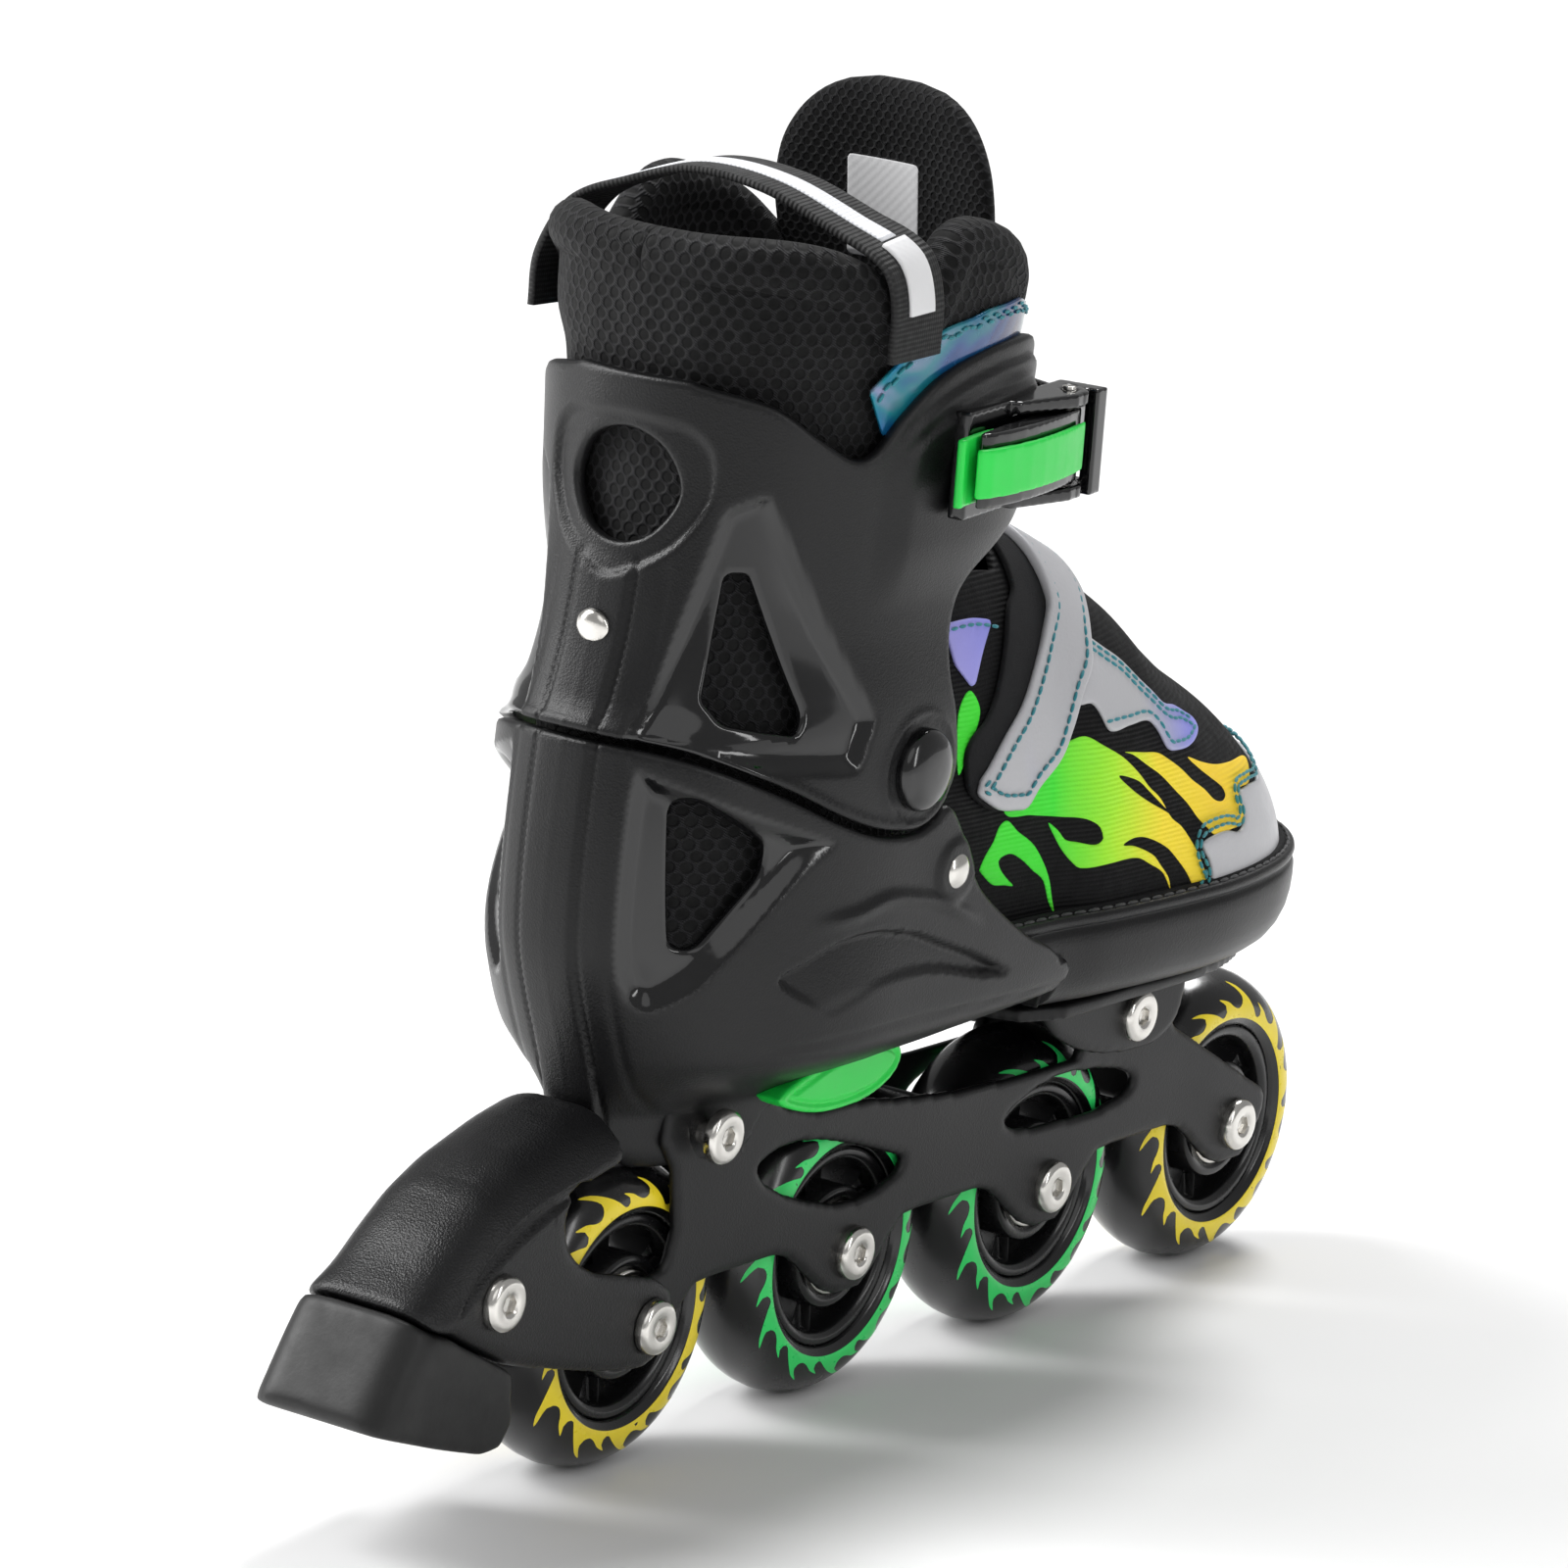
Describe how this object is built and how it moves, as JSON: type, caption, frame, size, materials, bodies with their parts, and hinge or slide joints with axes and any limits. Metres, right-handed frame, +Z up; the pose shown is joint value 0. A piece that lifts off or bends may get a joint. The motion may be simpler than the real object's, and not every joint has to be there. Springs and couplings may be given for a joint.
{
  "type": "inline skate",
  "caption": "Adjustable inline skate with a hinged cuff, a sliding toe section, a ratchet buckle, wheels in line on bearings and a heel brake.",
  "frame": {"origin": "middle of the bounding box's base, on the floor under the skate", "axes": "+Y towards the toe, +Z up, +X towards the outer (buckle) side of this right-foot skate"},
  "size_m": [0.1074, 0.3718, 0.303],
  "materials": {
    "chassis_plastic": "black glass-filled nylon, fine satin grain",
    "shell_plastic": "black moulded plastic, fine satin grain with polished recesses",
    "brake_plastic": "black moulded plastic, pebbled satin",
    "brake_rubber": "black dense rubber, mould seam",
    "tyre": "black polyurethane, printed flame ring",
    "hub_plastic": "black semi-gloss moulded core",
    "nickel_steel": "nickel-plated steel",
    "mesh_padding": "black open air mesh over foam",
    "upper_fabric": "black ribbed fabric with a green to yellow flame print",
    "grey_leather": "grey smooth synthetic leather, teal stitching",
    "webbing": "black grosgrain with a white reflective stripe",
    "gloss_plastic": "glossy black moulded plastic",
    "green_plastic": "bright green moulded plastic, satin"
  },
  "bodies": {
    "boot_and_chassis": {"chassis": "chassis_plastic", "boot_shell": "shell_plastic", "sole_plate": "shell_plastic", "rear_mount_bolt": "nickel_steel", "rear_mount_nut": "nickel_steel", "front_mount_bolt": "nickel_steel", "front_mount_nut": "nickel_steel", "brake_arm": "brake_plastic", "brake_pad": "brake_rubber", "brake_bolt": "nickel_steel", "brake_nut": "nickel_steel", "pivot_rivet_right": "gloss_plastic", "pivot_rivet_left": "gloss_plastic", "shell_rivet_right": "nickel_steel", "shell_rivet_left": "nickel_steel", "liner": "mesh_padding", "insole": "mesh_padding", "tongue": "mesh_padding", "bearing_spacer_1": "nickel_steel", "axle_1": "nickel_steel", "axle_screw_1": "nickel_steel", "bearing_spacer_2": "nickel_steel", "axle_2": "nickel_steel", "axle_screw_2": "nickel_steel", "bearing_spacer_3": "nickel_steel", "axle_3": "nickel_steel", "axle_screw_3": "nickel_steel", "bearing_spacer_4": "nickel_steel", "axle_4": "nickel_steel", "axle_screw_4": "nickel_steel"},
    "wheel_1": {"tyre_1": "tyre", "hub_1": "hub_plastic", "bearing_1_right": "nickel_steel", "bearing_1_left": "nickel_steel"},
    "wheel_2": {"tyre_2": "tyre", "hub_2": "hub_plastic", "bearing_2_right": "nickel_steel", "bearing_2_left": "nickel_steel"},
    "wheel_3": {"tyre_3": "tyre", "hub_3": "hub_plastic", "bearing_3_right": "nickel_steel", "bearing_3_left": "nickel_steel"},
    "wheel_4": {"tyre_4": "tyre", "hub_4": "hub_plastic", "bearing_4_right": "nickel_steel", "bearing_4_left": "nickel_steel"},
    "cuff": {"cuff": "shell_plastic", "rear_rivet": "nickel_steel", "buckle_base": "gloss_plastic", "buckle_pin": "nickel_steel", "ladder_strap": "gloss_plastic", "pull_loop": "webbing"},
    "buckle_lever": {"buckle_lever": "gloss_plastic", "lever_cover": "green_plastic"},
    "release_catch": {"release_catch": "green_plastic"},
    "toe": {"toe_tray": "shell_plastic", "toe_upper": "upper_fabric", "instep_strap": "grey_leather"},
    "size_button": {"size_button": "green_plastic"}
  },
  "joints": [
    {"name": "wheel_1_spin", "type": "hinge", "parent": "boot_and_chassis", "child": "wheel_1", "pos_m": [-0.00554, -0.08987, 0.036], "axis": [1, 0, 0], "continuous": true},
    {"name": "wheel_2_spin", "type": "hinge", "parent": "boot_and_chassis", "child": "wheel_2", "pos_m": [-0.00554, -0.00987, 0.036], "axis": [1, 0, 0], "continuous": true},
    {"name": "wheel_3_spin", "type": "hinge", "parent": "boot_and_chassis", "child": "wheel_3", "pos_m": [-0.00554, 0.07013, 0.036], "axis": [1, 0, 0], "continuous": true},
    {"name": "wheel_4_spin", "type": "hinge", "parent": "boot_and_chassis", "child": "wheel_4", "pos_m": [-0.00554, 0.15013, 0.036], "axis": [1, 0, 0], "continuous": true},
    {"name": "cuff_pivot", "type": "hinge", "parent": "boot_and_chassis", "child": "cuff", "pos_m": [-0.00554, -0.04087, 0.16], "axis": [-1, 0, 0], "range_deg": [0, 12], "stiffness_Nm_per_rad": 3, "deforming": ["liner", "tongue"]},
    {"name": "buckle_open", "type": "hinge", "parent": "cuff", "child": "buckle_lever", "pos_m": [0.04286, -0.00037, 0.229], "axis": [0, 0, 1], "range_deg": [0, 65]},
    {"name": "catch_slide", "type": "slide", "parent": "buckle_lever", "child": "release_catch", "axis": [0.1392, -0.9903, 0], "range_m": [0, 0.002], "stiffness_N_per_m": 400, "springref_m": -0.001},
    {"name": "toe_size_slide", "type": "slide", "parent": "boot_and_chassis", "child": "toe", "axis": [0, 1, 0], "range_m": [0, 0.024]},
    {"name": "size_button_press", "type": "slide", "parent": "boot_and_chassis", "child": "size_button", "axis": [-1, 0, 0], "range_m": [0, 0.003], "stiffness_N_per_m": 800, "springref_m": -0.002}
  ]
}
